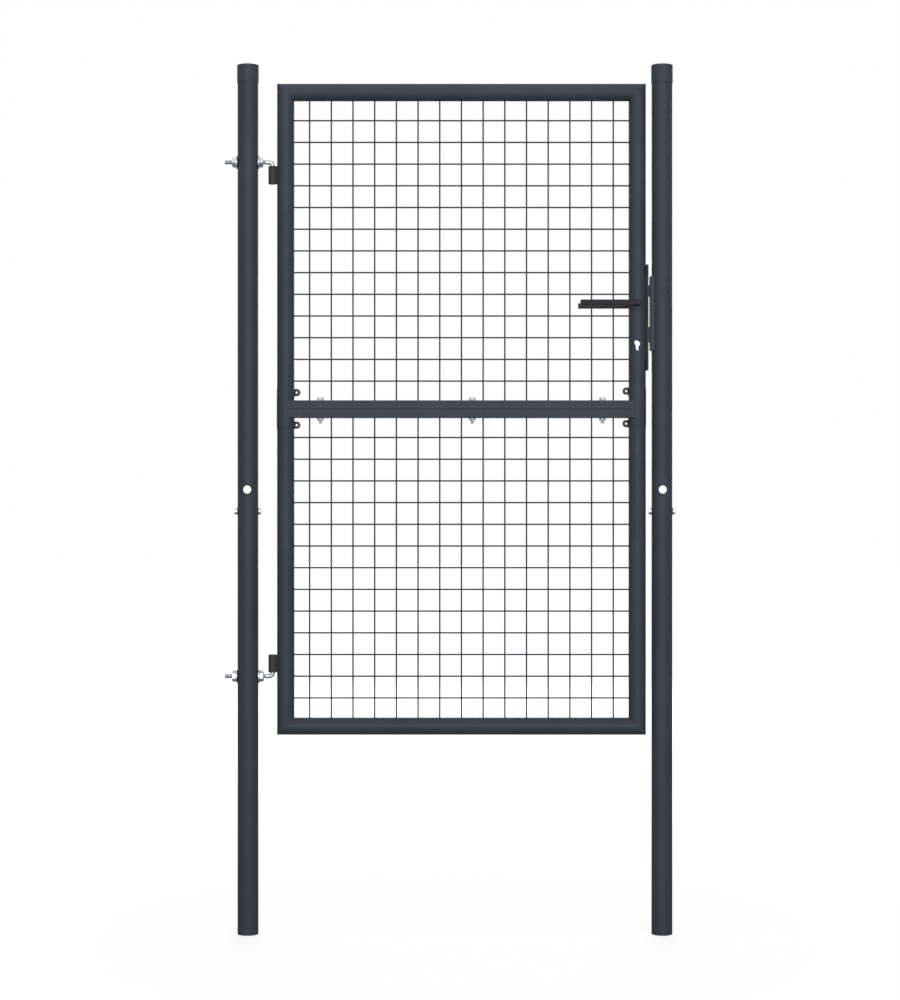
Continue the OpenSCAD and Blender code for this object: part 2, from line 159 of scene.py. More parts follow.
def lit_share(nodes, links, in_gloss):
    """Share of the bright backdrop that a ray takes: all of it, or in_gloss when mirrored."""
    path = nodes.new("ShaderNodeLightPath")
    gloss = nodes.new("ShaderNodeMath")
    gloss.operation = "MULTIPLY"
    gloss.inputs[1].default_value = in_gloss
    links.new(path.outputs["Is Glossy Ray"], gloss.inputs[0])
    share = gloss.outputs[0]
    for ray in ("Is Camera Ray", "Is Transmission Ray"):
        most = nodes.new("ShaderNodeMath")
        most.operation = "MAXIMUM"
        links.new(share, most.inputs[0])
        links.new(path.outputs[ray], most.inputs[1])
        share = most.outputs[0]
    return share


def ground(name, shade, near_glow, in_gloss):
    """Pale matte ground that is white to the eye, with a soft shadow close to the posts."""
    near, far = 0.8, 2.5
    material, nodes, links, shader = new_material(name)
    shader.inputs["Base Color"].default_value = (shade, shade, shade, 1)
    shader.inputs["Roughness"].default_value = 0.9
    shader.inputs["Specular IOR Level"].default_value = 0.1
    place = nodes.new("ShaderNodeTexCoord")
    centred = nodes.new("ShaderNodeMapping")
    centred.inputs["Location"].default_value = (-leaf_mid_x, 0, 0)
    links.new(place.outputs["Object"], centred.inputs["Vector"])
    distance = nodes.new("ShaderNodeVectorMath")
    distance.operation = "LENGTH"
    links.new(centred.outputs["Vector"], distance.inputs[0])
    spread = nodes.new("ShaderNodeMapRange")
    spread.inputs["From Min"].default_value = near
    spread.inputs["From Max"].default_value = far
    spread.inputs["To Min"].default_value = near_glow
    spread.inputs["To Max"].default_value = 1.0
    links.new(distance.outputs["Value"], spread.inputs["Value"])
    glow = nodes.new("ShaderNodeMath")
    glow.operation = "MULTIPLY"
    links.new(spread.outputs["Result"], glow.inputs[0])
    links.new(lit_share(nodes, links, in_gloss), glow.inputs[1])
    lamp = nodes.new("ShaderNodeEmission")
    links.new(glow.outputs[0], lamp.inputs["Strength"])
    both = nodes.new("ShaderNodeAddShader")
    links.new(shader.outputs[0], both.inputs[0])
    links.new(lamp.outputs[0], both.inputs[1])
    links.new(both.outputs[0], nodes["Material Output"].inputs["Surface"])
    return material


def set_stage():
    """Floor that runs far out, with the world as the backdrop."""
    half = 30.0
    corners = [(-half, -half, 0), (half, -half, 0), (half, half, 0), (-half, half, 0)]
    mesh = bpy.data.meshes.new("floor")
    mesh.from_pydata(corners, [], [(0, 1, 2, 3)])
    floor = bpy.data.objects.new("floor", mesh)
    scene.collection.objects.link(floor)
    mesh.materials.append(ground("pale_floor", shade=0.25, near_glow=0.772, in_gloss=0.15))


def set_world():
    """Even room light, with a white backdrop to the eye."""
    world = bpy.data.worlds.new("studio")
    scene.world = world
    world.use_nodes = True
    nodes, links = world.node_tree.nodes, world.node_tree.links
    room = nodes["Background"]
    room.inputs["Color"].default_value = (1.0, 0.95, 0.96, 1)
    room.inputs["Strength"].default_value = 0.315
    backdrop = nodes.new("ShaderNodeBackground")
    backdrop.inputs["Color"].default_value = (1, 1, 1, 1)
    mix = nodes.new("ShaderNodeMixShader")
    links.new(lit_share(nodes, links, in_gloss=0.6), mix.inputs["Fac"])
    links.new(room.outputs[0], mix.inputs[1])
    links.new(backdrop.outputs[0], mix.inputs[2])
    links.new(mix.outputs[0], nodes["World Output"].inputs["Surface"])


def softbox(name, place, aim, size, power):
    """Rectangular lamp, width by height, turned towards a point."""
    data = bpy.data.lights.new(name, "AREA")
    data.shape = "RECTANGLE"
    data.size, data.size_y = size
    data.energy = power
    lamp = bpy.data.objects.new(name, data)
    lamp.location = place
    lamp.rotation_euler = (Vector(aim) - Vector(place)).to_track_quat("-Z", "Y").to_euler()
    lamp.visible_camera = False
    scene.collection.objects.link(lamp)


def set_lamps():
    aim = (leaf_mid_x, 0, 1.0)
    softbox("front_softbox", (1.2, -6.6, 2.3), aim, size=(8.0, 4.6), power=342)
    softbox("low_softbox", (0.2, -6.2, 0.9), aim, size=(4.0, 1.6), power=50)
    softbox("overhead_softbox", (leaf_mid_x, -0.7, 3.4), aim, size=(3.0, 1.2), power=15)
    softbox("rear_softbox", (0.6, 6.5, 2.6), aim, size=(7.0, 4.0), power=285)


scene.view_settings.view_transform = "Standard"
set_camera()
set_stage()
set_world()
set_lamps()


# ---- finishes -------------------------------------------------------------------------------


def noise(nodes, links, scale, detail, roughness=0.5, stretch=(1, 1, 1)):
    """Noise on the piece's own coordinates, in cells a metre."""
    place = nodes.new("ShaderNodeTexCoord")
    mapping = nodes.new("ShaderNodeMapping")
    mapping.inputs["Scale"].default_value = stretch
    links.new(place.outputs["Object"], mapping.inputs["Vector"])
    node = nodes.new("ShaderNodeTexNoise")
    node.inputs["Scale"].default_value = scale
    node.inputs["Detail"].default_value = detail
    node.inputs["Roughness"].default_value = roughness
    links.new(mapping.outputs["Vector"], node.inputs["Vector"])
    return node.outputs["Fac"]


def colour_between(nodes, links, value, dark, light):
    start, end = 0.35, 0.65
    ramp = nodes.new("ShaderNodeValToRGB")
    ramp.color_ramp.elements[0].position = start
    ramp.color_ramp.elements[0].color = (*dark, 1)
    ramp.color_ramp.elements[1].position = end
    ramp.color_ramp.elements[1].color = (*light, 1)
    links.new(value, ramp.inputs["Fac"])
    return ramp.outputs["Color"]


def range_between(nodes, links, value, least, most):
    start, end = 0.3, 0.7
    node = nodes.new("ShaderNodeMapRange")
    node.inputs["From Min"].default_value = start
    node.inputs["From Max"].default_value = end
    node.inputs["To Min"].default_value = least
    node.inputs["To Max"].default_value = most
    links.new(value, node.inputs["Value"])
    return node.outputs["Result"]


def relief(nodes, links, height, depth, strength, under=None):
    node = nodes.new("ShaderNodeBump")
    node.inputs["Distance"].default_value = depth
    node.inputs["Strength"].default_value = strength
    links.new(height, node.inputs["Height"])
    if under is not None:
        links.new(under, node.inputs["Normal"])
    return node.outputs["Normal"]


def coating(name, dark, light, gloss, grain, depth):
    """Sprayed coat: cloudy tone, orange-peel grain and uneven gloss."""
    material, nodes, links, shader = new_material(name)
    cloud = noise(nodes, links, scale=9, detail=3)
    links.new(colour_between(nodes, links, cloud, dark, light), shader.inputs["Base Color"])
    patches = noise(nodes, links, scale=45, detail=2)
    links.new(range_between(nodes, links, patches, *gloss), shader.inputs["Roughness"])
    orange_peel = noise(nodes, links, scale=grain, detail=2)
    specks = noise(nodes, links, scale=grain * 3.1, detail=1)
    broad = relief(nodes, links, orange_peel, depth, strength=0.5)
    fine = relief(nodes, links, specks, depth * 0.3, strength=0.5, under=broad)
    links.new(fine, shader.inputs["Normal"])
    shader.inputs["Specular IOR Level"].default_value = 0.10
    return material


def plated(name, dark, light, gloss, stretch=(1, 1, 1), metal=1.0):
    """Plated steel: mottled tone and fine drawn lines."""
    material, nodes, links, shader = new_material(name)
    mottle = noise(nodes, links, scale=160, detail=4)
    links.new(colour_between(nodes, links, mottle, dark, light), shader.inputs["Base Color"])
    lines = noise(nodes, links, scale=700, detail=3, roughness=0.6, stretch=stretch)
    links.new(range_between(nodes, links, lines, *gloss), shader.inputs["Roughness"])
    links.new(relief(nodes, links, lines, 0.00004, strength=0.4), shader.inputs["Normal"])
    shader.inputs["Metallic"].default_value = metal
    return material


anthracite = coating(
    "anthracite_powder_coat", (0.0335, 0.0438, 0.0568), (0.0393, 0.0496, 0.0645),
    gloss=(0.38, 0.48), grain=800, depth=0.00003,
)
# The same anthracite paint, made darker on the forend: painted shade standing in for the shadow
# between the stile and the strike
forend_painted_shade_coat = coating(
    "forend_plate_painted_shade", (0.023, 0.027, 0.034), (0.028, 0.032, 0.040),
    gloss=(0.50, 0.62), grain=800, depth=0.00006,
)
black = coating(
    "black_lever_coat", (0.017, 0.017, 0.021), (0.023, 0.022, 0.027),
    gloss=(0.42, 0.54), grain=1100, depth=0.00004,
)
# The same black coat as the front lever, made lighter on the rear lever: painted light, not wear
rear_lever_painted_light = coating(
    "rear_lever_coat_painted_light", (0.037, 0.036, 0.043), (0.044, 0.043, 0.050),
    gloss=(0.44, 0.56), grain=1100, depth=0.00004,
)
barrel_coat = coating(
    "black_barrel_coat", (0.042, 0.040, 0.042), (0.050, 0.048, 0.050),
    gloss=(0.46, 0.58), grain=1100, depth=0.00004,
)
zinc = plated("bright_zinc", (0.44, 0.45, 0.465), (0.55, 0.555, 0.565), gloss=(0.38, 0.52))
dull_zinc = plated(
    "dull_zinc", (0.52, 0.525, 0.535), (0.60, 0.605, 0.615), gloss=(0.46, 0.60), metal=0.1,
)
# Lock bolts darkened to the shade they sit in between the forend and the strike: painted shade
dark_steel = plated(
    "lock_bolt_steel_painted_shade", (0.017, 0.017, 0.019), (0.025, 0.025, 0.028),
    gloss=(0.34, 0.48), stretch=(0.15, 1, 1), metal=0.2,
)


# ---- mesh work ------------------------------------------------------------------------------


# Angles in degrees from which an edge is shaded sharp
SHARP = 32
NUT_SHARP = 28
ROUND_SHARP = 40
WIRE_SHARP = 50


def shaded(mesh, sharp=SHARP):
    mesh.shade_smooth()
    mesh.set_sharp_from_angle(angle=math.radians(sharp))
    return mesh


def mesh_from(name, bm, sharp=SHARP):
    """Finished mesh from a bmesh, smooth between its sharp edges."""
    bmesh.ops.remove_doubles(bm, verts=bm.verts, dist=1e-7)
    bmesh.ops.recalc_face_normals(bm, faces=bm.faces)
    mesh = bpy.data.meshes.new(name)
    bm.to_mesh(mesh)
    bm.free()
    return shaded(mesh, sharp)


def work_object(mesh):
    obj = bpy.data.objects.new("work", mesh)
    scene.collection.objects.link(obj)
    return obj


def result_of(obj):
    """Mesh with the modifiers applied; the work object goes."""
    graph = bpy.context.evaluated_depsgraph_get()
    mesh = bpy.data.meshes.new_from_object(obj.evaluated_get(graph))
    bpy.data.objects.remove(obj)
    return mesh


def evened(mesh):
    """Leans the smooth normals towards the larger faces, so that flats look flat."""
    obj = work_object(mesh)
    even = obj.modifiers.new("flats", "WEIGHTED_NORMAL")
    even.keep_sharp = True
    return result_of(obj)


def piece(name, mesh, body, finish, slot, *nodes):
    """Dresses a finished mesh and rides it on a body, in place of CAD nodes."""
    if not mesh.has_custom_normals:
        mesh = evened(mesh)
    mesh.materials.clear()
    mesh.materials.append(finish)
    mesh.name = name
    obj = bpy.data.objects.new(name, mesh)
    scene.collection.objects.link(obj)
    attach(obj, body)
    if nodes:
        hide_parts(*nodes)


def join_rings(bm, rings, lengthwise=False):
    """Skins rings of points; lengthwise also joins the last ring to the first."""
    rows = [[bm.verts.new(p) for p in ring] for ring in rings]
    count = len(rows[0])
    pairs = list(zip(rows, rows[1:]))
    if lengthwise:
        pairs.append((rows[-1], rows[0]))
    for a, b in pairs:
        for i in range(count):
            j = (i + 1) % count
            bm.faces.new((a[i], a[j], b[j], b[i]))
    return rows


def close_ends(bm, rows):
    bm.faces.new(list(reversed(rows[0])))
    bm.faces.new(rows[-1])


def angles(count):
    return [2 * math.pi * i / count for i in range(count)]


def polar(r, a, z):
    return Vector((r * math.cos(a), r * math.sin(a), z))


def turned(profile, sides, hollow=False):
    """Solid of revolution about Z from (radius, height) points, capped at both ends or hollow."""
    bm = bmesh.new()
    rings = [[polar(r, a, z) for a in angles(sides)] for r, z in profile]
    rows = join_rings(bm, rings, lengthwise=hollow)
    if not hollow:
        close_ends(bm, rows)
    return bm


def moved(bm, *steps):
    """Applies turns and shifts to a bmesh, in order."""
    for step in steps:
        bmesh.ops.transform(bm, matrix=step, verts=bm.verts)
    return bm


def shift(x=0.0, y=0.0, z=0.0):
    return Matrix.Translation((x, y, z))


def turn(degrees, axis):
    return Matrix.Rotation(math.radians(degrees), 4, axis)


ALONG_X = turn(90, "Y")
BACK_X = turn(-90, "Y")
ALONG_Y = turn(-90, "X")


def add(bm, other):
    """Moves all of another bmesh into this one."""
    mesh = bpy.data.meshes.new("part")
    other.to_mesh(mesh)
    other.free()
    bm.from_mesh(mesh)
    bpy.data.meshes.remove(mesh)


def gathered(parts):
    bm = bmesh.new()
    for part in parts:
        add(bm, part)
    return bm


def block(x0, x1, y0, y1, z0, z1):
    bm = bmesh.new()
    bmesh.ops.create_cube(bm, size=1)
    size = Matrix.Diagonal((x1 - x0, y1 - y0, z1 - z0, 1))
    return moved(bm, size, shift((x0 + x1) / 2, (y0 + y1) / 2, (z0 + z1) / 2))


def drum(r, length, sides=64):
    """Plain cutter along Z, centred."""
    return turned([(r, -length / 2), (r, length / 2)], sides)


def carved(mesh, cutters, mode="DIFFERENCE", sharp=SHARP):
    """Cuts each bmesh from a mesh, or joins it on."""
    body = work_object(mesh)
    tools = []
    for bm in cutters:
        bmesh.ops.recalc_face_normals(bm, faces=bm.faces)
        tool_mesh = bpy.data.meshes.new("tool")
        bm.to_mesh(tool_mesh)
        bm.free()
        modifier = body.modifiers.new("cut", "BOOLEAN")
        modifier.operation = mode
        modifier.solver = "EXACT"
        modifier.object = work_object(tool_mesh)
        tools.append(modifier.object)
    result = result_of(body)
    for tool in tools:
        bpy.data.objects.remove(tool)
    return shaded(result, sharp)


def eased(mesh, width, segments):
    """Rounds a mesh's sharp edges and evens out the shading of its flats."""
    obj = work_object(mesh)
    bevel = obj.modifiers.new("edge", "BEVEL")
    bevel.width = width
    bevel.segments = segments
    bevel.limit_method = "ANGLE"
    bevel.angle_limit = math.radians(ROUND_SHARP)
    obj.modifiers.new("flats", "WEIGHTED_NORMAL")
    return result_of(obj)


def cleaned(node):
    """Merged copy of a CAD node's mesh, its flat faces made whole."""
    flat = math.radians(1)
    bm = bmesh.new()
    bm.from_mesh(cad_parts[node].data)
    bmesh.ops.remove_doubles(bm, verts=bm.verts, dist=1e-6)
    bmesh.ops.dissolve_limit(bm, angle_limit=flat, verts=bm.verts, edges=bm.edges)
    mesh = bpy.data.meshes.new(node)
    bm.to_mesh(mesh)
    bm.free()
    return shaded(mesh)


# ---- posts ----------------------------------------------------------------------------------


def post_half(side, z0, z1, cutters):
    """Half of a post tube, with eased rims and its holes."""
    rim = 0.3 * MM
    inner = post_r - post_wall
    profile = [
        (inner + rim, z0), (post_r - rim, z0), (post_r, z0 + rim),
        (post_r, z1 - rim), (post_r - rim, z1), (inner + rim, z1),
        (inner, z1 - rim), (inner, z0 + rim),
    ]
    bm = moved(turned(profile, sides=128, hollow=True), shift(x=post_xs[side]))
    return carved(mesh_from("post", bm), cutters)


def across_x(r, z, x):
    return moved(drum(r, 80 * MM), ALONG_X, shift(x, 0, z))


def across_y(r, z, x, y0, y1):
    return moved(drum(r, y1 - y0), ALONG_Y, shift(x, (y0 + y1) / 2, z))


def access_holes(x):
    """Cutters of the holes in front and behind, above a post's joint."""
    return [
        across_y(access_front_r, access_z, x, -access_reach, 0),
        across_y(access_rear_r, access_z, x, 0, access_reach),
    ]


def bolt_pocket(bolt, x):
    """Room round a thrown bolt, in the near side of a post."""
    room = 2 * MM
    a, b = low(bolt), high(bolt)
    return block(x - 2 * post_r, x, a.y - room, b.y + room, a.z - room, b.z + room)


def make_posts():
    """Both halves of both posts, with their holes and the pockets for the bolts."""
    for side, x in post_xs.items():
        lower = [across_x(cross_hole_r, cross_bolt_z, x)]
        upper = access_holes(x)
        if side == "hinge":
            lower.append(across_x(rod_hole_r, rod_zs["bottom"], x))
            upper.append(across_x(rod_hole_r, rod_zs["top"], x))
        else:
            upper += [bolt_pocket(bolt, x) for bolt in ("latch_bolt", "deadbolt")]
        for half, z0, z1, cutters in (
            ("lower", 0, post_joint_z, lower),
            ("upper", post_joint_z, post_top_z, upper),
        ):
            node = f"{side}_post_{half}"
            tube = post_half(side, z0, z1, cutters)
            piece(f"{node}_tube", tube, "posts", anthracite, "anthracite_paint", node)


def make_couplings():
    """Coupling tubes inside the posts, seen through the access holes."""
    for side, x in post_xs.items():
        node = f"{side}_post_coupling"
        outer = half_width(node)
        inner = outer - coupling_wall
        z0, z1 = low(node).z, high(node).z
        profile = [(inner, z0), (outer, z0), (outer, z1), (inner, z1)]
        bm = moved(turned(profile, sides=96, hollow=True), shift(x))
        holes = [across_x(cross_hole_r, cross_bolt_z, x), *access_holes(x)]
        tube = carved(mesh_from("coupling", bm), holes)
        piece(f"{node}_tube", tube, "posts", anthracite, "anthracite_paint", node)


def make_caps():
    """Cup over each post end: rolled top edge, a bead below it and a hemmed skirt."""
    wall = 1 * MM
    inner_hem, outer_hem = 0.4 * MM, 0.5 * MM
    edge, edge_steps = 1.6 * MM, 6
    groove = 0.45 * MM
    for side, x in post_xs.items():
        node = f"{side}_post_cap"
        r = half_width(node)
        bottom, top = low(node).z, high(node).z
        bead_z = top - 9 * MM
        profile = [
            (r - wall, post_top_z), (r - wall, bottom + inner_hem),
            (r - wall * 0.7, bottom), (r - wall * 0.3, bottom), (r, bottom + outer_hem),
            (r, bead_z - 2 * groove), (r - groove, bead_z), (r, bead_z + 2 * groove),
        ]
        for i in range(edge_steps + 1):
            a = math.radians(90 * i / edge_steps)
            profile.append((r - edge + edge * math.cos(a), top - edge + edge * math.sin(a)))
        profile.append((r * 0.5, top))
        cup = mesh_from(node, moved(turned(profile, sides=128), shift(x)), ROUND_SHARP)
        piece(f"{node}_cup", cup, "posts", anthracite, "anthracite_paint", node)


make_posts()
make_couplings()
make_caps()


# ---- nuts, washers, bolts and screws --------------------------------------------------------


def hexagon(flats, height, bore=0.0, chamfers=(True, True)):
    """Hexagonal nut or head along Z from 0, its corners turned down to a chamfer."""
    per_side = 12
    half = flats / 2
    face_r = half * 0.95
    slope = math.tan(math.radians(28))
    sides = 6 * per_side

    def corner(a):
        return half / math.cos((a % math.radians(60)) - math.radians(30))

    def ring(z_of, r_of):
        return [polar(r_of(a), a, z_of(a)) for a in angles(sides)]

    rings = []
    for end, z, inward in ((0, 0.0, 1), (1, height, -1)):
        drop = (lambda a: (corner(a) - face_r) * slope) if chamfers[end] else (lambda a: 0.0)
        face = ring(lambda a, z=z: z, (lambda a: face_r) if chamfers[end] else corner)
        side = ring(lambda a, z=z, d=drop, s=inward: z + s * d(a), corner)
        rings += [face, side] if end == 0 else [side, face]
    bm = bmesh.new()
    if bore:
        lead = 0.6 * MM
        rings += [
            ring(lambda a: height, lambda a: bore + lead),
            ring(lambda a: height - lead, lambda a: bore),
            ring(lambda a: lead, lambda a: bore),
            ring(lambda a: 0.0, lambda a: bore + lead),
        ]
        join_rings(bm, rings, lengthwise=True)
    else:
        close_ends(bm, join_rings(bm, rings))
    return bm


def sleeve(r, bore, z0, z1, edge, sides):
    """Ring along Z, all four of its edges chamfered."""
    profile = [
        (bore, z0 + edge), (bore + edge, z0), (r - edge, z0), (r, z0 + edge),
        (r, z1 - edge), (r - edge, z1), (bore + edge, z1), (bore, z1 - edge),
    ]
    return turned(profile, sides, hollow=True)


def washer(r, bore, thickness):
    return sleeve(r, bore, 0, thickness, edge=min(0.3 * MM, thickness / 4), sides=64)


def threaded(r, length, pitch, plain=0.0, sides=32):
    """Rod along Z with a true helical thread, plain over its last stretch."""
    steps = 6
    depth = pitch * 0.54
    crest, flank = 0.12, 0.76  # widths of the crest and of the flanks, of one turn
    lead, lead_slope = 1.2 * pitch, 0.8
    count = round((length - plain) / pitch * steps)
    rings = []
    for i in range(count + 1):
        z = (length - plain) * i / count
        fade = min(1.0, (length - plain - z) / pitch) if plain else 1.0
        taper = max(0.0, lead - z, z - (length - lead)) * lead_slope
        ring = []
        for a in angles(sides):
            phase = (z / pitch - a / (2 * math.pi)) % 1.0
            groove = abs(phase - 0.5) * 2
            cut = max(0.0, min(1.0, (groove - crest) / flank)) * depth * fade
            ring.append(polar(min(r - cut, r - taper), a, z))
        rings.append(ring)
    if plain:
        rings.append([polar(r, a, length) for a in angles(sides)])
    bm = bmesh.new()
    close_ends(bm, join_rings(bm, rings))
    return bm


def cross_screw(r, height):
    """Pan-head screw with a cross recess, head up along Z, seated at 0."""
    neck, neck_end, rim = r * 0.5, -2 * MM, 0.25
    profile = [(neck, neck_end), (neck, 0), (r, 0), (r, height * rim)]
    for i in range(1, 6):
        a = math.radians(90 * i / 6)
        profile.append((r * math.cos(a), height * (rim + (1 - rim) * math.sin(a))))
    slot, reach = r * 0.24, r * 0.62
    floor_z, above = height * 0.35, height * 2
    recess = [
        block(-reach, reach, -slot / 2, slot / 2, floor_z, above),
        block(-slot / 2, slot / 2, -reach, reach, floor_z, above),
    ]
    bm = bmesh.new()
    head = mesh_from("screw", turned(profile, sides=40), ROUND_SHARP)
    bm.from_mesh(carved(head, recess, sharp=ROUND_SHARP))
    return bm


def make_post_bolts():
    """Cross bolt through each post, below the joint: head, two washers and nut."""
    washer_depth = 1.5 * MM
    seat = post_r + washer_depth
    head_t, nut_height = 5.5 * MM, 4.5 * MM
    reach = 2 * seat + head_t
    parts = []
    for x in post_xs.values():
        here = shift(x, 0, cross_bolt_z)
        head = hexagon(m8_flats, head_t, chamfers=(False, True))
        parts.append(moved(head, turn(12, "Z"), BACK_X, shift(-seat), here))
        for face_x in (-seat, post_r):
            ring = washer(m8_washer_r, m8_r, washer_depth)
            parts.append(moved(ring, ALONG_X, shift(face_x), here))
        nut = hexagon(m8_flats, nut_height, m8_r)
        parts.append(moved(nut, turn(-12, "Z"), ALONG_X, shift(seat), here))
        shank = threaded(m8_r, reach, m8_pitch, plain=reach * 0.6)
        parts.append(moved(shank, BACK_X, shift(seat + head_t), here))
    mesh = mesh_from("post_bolts", gathered(parts), NUT_SHARP)
    piece("post_cross_bolts", mesh, "posts", zinc, "zinc_plate", "post_bolts")


def rail_bolt_xs():
    """Two bolts near the stiles and one beside the middle."""
    node = "middle_rail_bolts"
    first, last = low(node).x + m8_washer_r, high(node).x - m8_washer_r
    return [first, leaf_mid_x + 25 * MM, last]


def make_rail_bolts():
    """Bolts that draw the two middle rails together."""
    node = "middle_rail_bolts"
    washer_depth = 1.6 * MM
    head_t, nut_height = 5.3 * MM, 6 * MM
    rail_top = leaf_mid_z + mid_rail_h
    seat = rail_top + washer_depth
    nut_z = leaf_mid_z - mid_rail_h - nut_height
    end_z = low(node).z
    parts = []
    for x, lean in zip(rail_bolt_xs(), (-3, 2, 4)):
        ring = washer(m8_washer_r, m8_r, washer_depth)
        head = hexagon(m8_flats, head_t, chamfers=(False, True))
        nut = hexagon(m8_flats, nut_height, m8_r)
        shank = threaded(m8_r, seat - end_z, m8_pitch, plain=30 * MM)
        parts += [
            moved(ring, shift(x, 0, rail_top)),
            moved(head, turn(lean, "Z"), shift(x, 0, seat)),
            moved(nut, turn(-lean, "Z"), shift(x, 0, nut_z)),
            moved(shank, shift(x, 0, end_z)),
        ]
    mesh = mesh_from(node, gathered(parts), NUT_SHARP)
    piece("middle_rail_fixings", mesh, "leaf", dull_zinc, "zinc_plate", node)


def hinge_rod(z, up):
    """Bent bolt: threaded tail through the post, a tight bend and the plain pin."""
    tail = low("top_hinge_bolt").x
    thread_end = 42 * MM
    overlap = 1 * MM
    pin_h = 39.5 * MM
    chamfer = 0.8 * MM
    sides, bend_steps = 32, 16
    bm = threaded(pin_r, thread_end - tail, hinge_pitch, sides=sides)
    moved(bm, ALONG_X, shift(tail))
    path = [(Vector((thread_end - overlap, 0, 0)), Vector((1, 0, 0)))]
    start_x = hinge_x - bend_r
    for i in range(bend_steps + 1):
        a = math.radians(90 * i / bend_steps)
        point = Vector((start_x + bend_r * math.sin(a), 0, bend_r - bend_r * math.cos(a)))
        path.append((point, Vector((math.cos(a), 0, math.sin(a)))))
    tip = Vector((hinge_x, 0, bend_r + pin_h))
    shoulder = Vector((hinge_x, 0, bend_r + pin_h - chamfer))
    path.append((shoulder, Vector((0, 0, 1))))
    side = Vector((0, 1, 0))
    rings = []
    for point, along in path:
        out = side.cross(along)
        rings.append([
            point + pin_r * (math.cos(a) * side + math.sin(a) * out) for a in angles(sides)
        ])
    rings.append([tip + (p - shoulder) * (1 - chamfer / pin_r) for p in rings[-1]])
    bent = bmesh.new()
    close_ends(bent, join_rings(bent, rings))
    add(bm, bent)
    if not up:
        moved(bm, Matrix.Diagonal((1, 1, -1, 1)))
    return moved(bm, shift(z=z))


def make_hinge_bolts():
    for end, up in (("top", False), ("bottom", True)):
        node = f"{end}_hinge_bolt"
        mesh = mesh_from(node, hinge_rod(rod_zs[end], up), ROUND_SHARP)
        piece(f"{node}_rod", mesh, "posts", zinc, "zinc_plate", node)


def make_hinge_nuts():
    """Nut and washer on each side of the post, on both hinge bolts."""
    seat = post_r + washer_t
    nuts, rings = [], []
    for end, lean in (("top", -17), ("bottom", -7)):
        here = shift(z=rod_zs[end])
        for side, face in ((-1, BACK_X), (1, ALONG_X)):
            nut = hexagon(nut_flats, nut_t, pin_r)
            nuts.append(moved(nut, face, turn(lean, "X"), shift(side * seat), here))
            ring = washer(washer_r, rod_hole_r, washer_t)
            rings.append(moved(ring, face, shift(side * post_r), here))
    for name, parts, node in (
        ("hinge_bolt_nuts", nuts, "hinge_nuts"),
        ("hinge_bolt_washers", rings, "hinge_washers"),
    ):
        mesh = mesh_from(node, gathered(parts), NUT_SHARP)
        piece(name, mesh, "posts", zinc, "zinc_plate", node)


make_post_bolts()
make_rail_bolts()
make_hinge_bolts()
make_hinge_nuts()


# ---- leaf frame -----------------------------------------------------------------------------


def mitred_tube(place, start, end):
    """Tube whose ends follow start and end, given per offset (u, v) from its centreline."""
    sides = 112
    rim = 0.25 * MM
    outer, inner = tube_r, tube_r - tube_wall
    stops = [
        (inner + rim, start, 0), (outer - rim, start, 0), (outer, start, rim),
        (outer, end, -rim), (outer - rim, end, 0), (inner + rim, end, 0),
        (inner, end, -rim), (inner, start, rim),
    ]
    rings = []
    for r, edge, inset in stops:
        ring = []
        for a in angles(sides):
            u, v = r * math.cos(a), r * math.sin(a)
            ring.append(place(u, v, edge(u, v) + inset))
        rings.append(ring)
    bm = bmesh.new()
    join_rings(bm, rings, lengthwise=True)
    return mesh_from("tube", bm)


def euro_cutters():
    """Keyhole through the stile: a circle with a round-ended slot below it."""
    slot_z = keyhole_z - (keyhole_h - keyhole_r - keyhole_slot_r)
    slot_x0, slot_x1 = lever_x - keyhole_slot_r, lever_x + keyhole_slot_r
    return [
        across_y(keyhole_r, keyhole_z, lever_x, -cut_reach, cut_reach),
        across_y(keyhole_slot_r, slot_z, lever_x, -cut_reach, cut_reach),
        block(slot_x0, slot_x1, -cut_reach, cut_reach, slot_z, keyhole_z),
    ]


def make_stiles():
    """Stile halves, cut along the mitres; the latch side is opened for the lock."""
    for side, x in stile_xs.items():
        out = -1 if side == "hinge" else 1

        def upright(u, v, z, x=x):
            return Vector((x + u, v, z))

        def top(u, v, out=out):
            return leaf_z1 - tube_r + out * u

        def bottom(u, v, out=out):
            return leaf_z0 + tube_r - out * u

        def joint(u, v):
            return leaf_mid_z

        lower = mitred_tube(upright, bottom, joint)
        upper = mitred_tube(upright, joint, top)
        if side == "latch":
            a, b = low("lock_case"), high("lock_case")
            slack = 0.3 * MM
            neck_r = half_height("front_lever") + 0.05 * MM
            cutters = [
                block(x, x + 2 * tube_r, a.y - slack, b.y + slack, a.z - slack, b.z + slack),
                across_y(neck_r, lever_z, x, -cut_reach, cut_reach),
                *euro_cutters(),
            ]
            upper = carved(upper, cutters)
        for half, mesh in (("upper", upper), ("lower", lower)):
            node = f"{side}_stile_{half}"
            piece(f"{node}_tube", mesh, "leaf", anthracite, "anthracite_paint", node)


def make_rails():
    """Top and bottom rail, cut along the mitres."""
    for node, z, out in (
        ("top_rail", leaf_z1 - tube_r, 1),
        ("bottom_rail", leaf_z0 + tube_r, -1),
    ):

        def level(u, v, x, z=z):
            return Vector((x, v, z + u))

        def left(u, v, out=out):
            return leaf_x0 + tube_r - out * u

        def right(u, v, out=out):
            return leaf_x1 - tube_r + out * u

        tube = mitred_tube(level, left, right)
        piece(f"{node}_tube", tube, "leaf", anthracite, "anthracite_paint", node)


